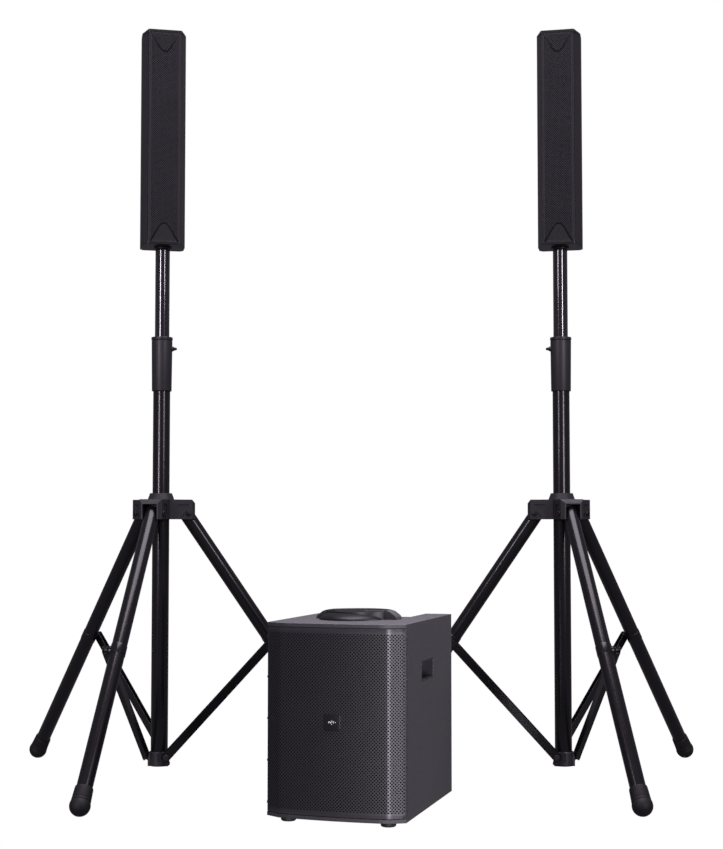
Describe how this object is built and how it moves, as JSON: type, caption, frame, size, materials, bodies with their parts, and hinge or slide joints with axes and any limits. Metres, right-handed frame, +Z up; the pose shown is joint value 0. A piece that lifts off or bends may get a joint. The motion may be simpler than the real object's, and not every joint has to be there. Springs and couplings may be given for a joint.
{
  "type": "column pa system",
  "caption": "Portable column loudspeaker set: slim column speakers on folding tripod stands with telescoping masts, and a powered subwoofer cabinet with a built-in mixer panel.",
  "frame": {"origin": "middle of the set's footprint, on the floor", "axes": "+Z up, -Y towards the listener in front of the subwoofer, +X to that listener's right"},
  "size_m": [1.74, 0.9616, 1.814],
  "materials": {
    "powder_coat": "gloss black powder coat",
    "moulding": "satin black moulded nylon",
    "rubber": "matt black rubber",
    "black_steel": "black oxide steel",
    "shell": "fine textured black shell",
    "grille_steel": "black powder-coated perforated steel",
    "gloss_trim": "satin black end moulding",
    "driver": "black cone and steel motor",
    "cabinet_wood": "black textured paint on plywood",
    "alloy": "black painted alloy",
    "cone_pulp": "black paper cone"
  },
  "bodies": {
    "root": {"sub_cabinet": "cabinet_wood", "sub_baffle": "cabinet_wood", "sub_grille": "grille_steel", "woofer_basket": "alloy", "woofer_cone": "cone_pulp", "top_handle": "moulding", "side_cups": "moulding", "sub_feet": "rubber", "mixer_panel": "alloy", "sockets": "gloss_trim", "left_main_tube": "powder_coat", "left_bottom_collar": "moulding", "left_sleeve": "moulding", "left_sleeve_bush": "moulding", "right_main_tube": "powder_coat", "right_bottom_collar": "moulding", "right_sleeve": "moulding", "right_sleeve_bush": "moulding"},
    "left_mast": {"left_mast": "powder_coat"},
    "left_column": {"left_column_housing": "shell", "left_column_grille": "grille_steel", "left_column_end_caps": "gloss_trim", "left_column_drivers": "driver", "left_column_socket": "alloy"},
    "left_lock_pin": {"left_lock_pin": "black_steel"},
    "left_hub": {"left_hub": "moulding", "left_hub_bolts": "black_steel"},
    "left_hub_knob": {"left_hub_knob": "moulding"},
    "left_leg_1": {"left_leg_1": "powder_coat", "left_foot_1": "rubber"},
    "left_brace_1": {"left_brace_1": "powder_coat"},
    "left_leg_2": {"left_leg_2": "powder_coat", "left_foot_2": "rubber"},
    "left_brace_2": {"left_brace_2": "powder_coat"},
    "left_leg_3": {"left_leg_3": "powder_coat", "left_foot_3": "rubber"},
    "left_brace_3": {"left_brace_3": "powder_coat"},
    "right_mast": {"right_mast": "powder_coat"},
    "right_column": {"right_column_housing": "shell", "right_column_grille": "grille_steel", "right_column_end_caps": "gloss_trim", "right_column_drivers": "driver", "right_column_socket": "alloy"},
    "right_lock_pin": {"right_lock_pin": "black_steel"},
    "right_hub": {"right_hub": "moulding", "right_hub_bolts": "black_steel"},
    "right_hub_knob": {"right_hub_knob": "moulding"},
    "right_leg_1": {"right_leg_1": "powder_coat", "right_foot_1": "rubber"},
    "right_brace_1": {"right_brace_1": "powder_coat"},
    "right_leg_2": {"right_leg_2": "powder_coat", "right_foot_2": "rubber"},
    "right_brace_2": {"right_brace_2": "powder_coat"},
    "right_leg_3": {"right_leg_3": "powder_coat", "right_foot_3": "rubber"},
    "right_brace_3": {"right_brace_3": "powder_coat"},
    "channel_knob_1": {"channel_knob_1": "moulding"},
    "channel_knob_2": {"channel_knob_2": "moulding"},
    "master_knob": {"master_knob": "moulding"},
    "power_switch": {"power_switch": "gloss_trim"}
  },
  "joints": [
    {"name": "left_mast_slide", "type": "slide", "parent": "root", "child": "left_mast", "axis": [0, 0, 1], "range_m": [-0.2, 0.5]},
    {"name": "left_column_swivel", "type": "hinge", "parent": "left_mast", "child": "left_column", "pos_m": [-0.48638, 0.13308, 1.286], "axis": [0, 0, 1], "continuous": true},
    {"name": "left_lock_pin_pull", "type": "slide", "parent": "root", "child": "left_lock_pin", "axis": [1, 0, 0], "range_m": [0, 0.008], "stiffness_N_per_m": 300, "springref_m": -0.004},
    {"name": "left_hub_slide", "type": "slide", "parent": "root", "child": "left_hub", "axis": [0, 0, 1], "range_m": [0, 0.16984]},
    {"name": "left_hub_knob_turn", "type": "hinge", "parent": "left_hub", "child": "left_hub_knob", "pos_m": [-0.47723, 0.17611, 0.6458], "axis": [0.2079, 0.9781, 0], "continuous": true},
    {"name": "left_leg_1_hinge", "type": "hinge", "parent": "left_hub", "child": "left_leg_1", "pos_m": [-0.42741, 0.15224, 0.63566], "axis": [-0.309, 0.9511, 0], "range_deg": [0, 34.68]},
    {"name": "left_brace_1_hinge", "type": "hinge", "parent": "root", "child": "left_brace_1", "pos_m": [-0.4679, 0.10859, 0.053], "axis": [0.309, -0.9511, 0], "range_deg": [0, 36.21]},
    {"name": "left_leg_2_hinge", "type": "hinge", "parent": "left_hub", "child": "left_leg_2", "pos_m": [-0.53245, 0.17456, 0.63566], "axis": [-0.6691, -0.7431, 0], "range_deg": [0, 34.68]},
    {"name": "left_brace_2_hinge", "type": "hinge", "parent": "root", "child": "left_brace_2", "pos_m": [-0.4744, 0.16132, 0.053], "axis": [0.6691, 0.7431, 0], "range_deg": [0, 36.21]},
    {"name": "left_leg_3_hinge", "type": "hinge", "parent": "left_hub", "child": "left_leg_3", "pos_m": [-0.49927, 0.07243, 0.63566], "axis": [0.9781, -0.2079, 0], "range_deg": [0, 34.68]},
    {"name": "left_brace_3_hinge", "type": "hinge", "parent": "root", "child": "left_brace_3", "pos_m": [-0.51682, 0.12932, 0.053], "axis": [-0.9781, 0.2079, 0], "range_deg": [0, 36.21]},
    {"name": "right_mast_slide", "type": "slide", "parent": "root", "child": "right_mast", "axis": [0, 0, 1], "range_m": [-0.2, 0.5]},
    {"name": "right_column_swivel", "type": "hinge", "parent": "right_mast", "child": "right_column", "pos_m": [0.48638, 0.13308, 1.286], "axis": [0, 0, 1], "continuous": true},
    {"name": "right_lock_pin_pull", "type": "slide", "parent": "root", "child": "right_lock_pin", "axis": [-1, 0, 0], "range_m": [0, 0.008], "stiffness_N_per_m": 300, "springref_m": -0.004},
    {"name": "right_hub_slide", "type": "slide", "parent": "root", "child": "right_hub", "axis": [0, 0, 1], "range_m": [0, 0.16984]},
    {"name": "right_hub_knob_turn", "type": "hinge", "parent": "right_hub", "child": "right_hub_knob", "pos_m": [0.47723, 0.17611, 0.6458], "axis": [-0.2079, 0.9781, 0], "continuous": true},
    {"name": "right_leg_1_hinge", "type": "hinge", "parent": "right_hub", "child": "right_leg_1", "pos_m": [0.42741, 0.15224, 0.63566], "axis": [-0.309, -0.9511, 0], "range_deg": [0, 34.68]},
    {"name": "right_brace_1_hinge", "type": "hinge", "parent": "root", "child": "right_brace_1", "pos_m": [0.4679, 0.10859, 0.053], "axis": [0.309, 0.9511, 0], "range_deg": [0, 36.21]},
    {"name": "right_leg_2_hinge", "type": "hinge", "parent": "right_hub", "child": "right_leg_2", "pos_m": [0.53245, 0.17456, 0.63566], "axis": [-0.6691, 0.7431, 0], "range_deg": [0, 34.68]},
    {"name": "right_brace_2_hinge", "type": "hinge", "parent": "root", "child": "right_brace_2", "pos_m": [0.4744, 0.16132, 0.053], "axis": [0.6691, -0.7431, 0], "range_deg": [0, 36.21]},
    {"name": "right_leg_3_hinge", "type": "hinge", "parent": "right_hub", "child": "right_leg_3", "pos_m": [0.49927, 0.07243, 0.63566], "axis": [0.9781, 0.2079, 0], "range_deg": [0, 34.68]},
    {"name": "right_brace_3_hinge", "type": "hinge", "parent": "root", "child": "right_brace_3", "pos_m": [0.51682, 0.12932, 0.053], "axis": [-0.9781, -0.2079, 0], "range_deg": [0, 36.21]},
    {"name": "channel_knob_1_turn", "type": "hinge", "parent": "root", "child": "channel_knob_1", "pos_m": [0.00101, -0.08664, 0.33531], "axis": [0.1884, 0.6162, 0.7648], "range_deg": [-140, 140]},
    {"name": "channel_knob_2_turn", "type": "hinge", "parent": "root", "child": "channel_knob_2", "pos_m": [0.03543, -0.09717, 0.33531], "axis": [0.1884, 0.6162, 0.7648], "range_deg": [-140, 140]},
    {"name": "master_knob_turn", "type": "hinge", "parent": "root", "child": "master_knob", "pos_m": [0.07177, -0.10828, 0.33531], "axis": [0.1884, 0.6162, 0.7648], "range_deg": [-140, 140]},
    {"name": "power_switch_rock", "type": "hinge", "parent": "root", "child": "power_switch", "pos_m": [0.10592, -0.11973, 0.33416], "axis": [0.9563, -0.2924, 0], "range_deg": [0, 12]}
  ],
  "couplings": [
    {"joint": "left_leg_1_hinge", "follows": "left_hub_slide", "rad_per_m": 3.5587},
    {"joint": "left_brace_1_hinge", "follows": "left_hub_slide", "rad_per_m": 3.716},
    {"joint": "left_leg_2_hinge", "follows": "left_hub_slide", "rad_per_m": 3.5587},
    {"joint": "left_brace_2_hinge", "follows": "left_hub_slide", "rad_per_m": 3.716},
    {"joint": "left_leg_3_hinge", "follows": "left_hub_slide", "rad_per_m": 3.5587},
    {"joint": "left_brace_3_hinge", "follows": "left_hub_slide", "rad_per_m": 3.716},
    {"joint": "right_leg_1_hinge", "follows": "right_hub_slide", "rad_per_m": 3.5587},
    {"joint": "right_brace_1_hinge", "follows": "right_hub_slide", "rad_per_m": 3.716},
    {"joint": "right_leg_2_hinge", "follows": "right_hub_slide", "rad_per_m": 3.5587},
    {"joint": "right_brace_2_hinge", "follows": "right_hub_slide", "rad_per_m": 3.716},
    {"joint": "right_leg_3_hinge", "follows": "right_hub_slide", "rad_per_m": 3.5587},
    {"joint": "right_brace_3_hinge", "follows": "right_hub_slide", "rad_per_m": 3.716}
  ]
}
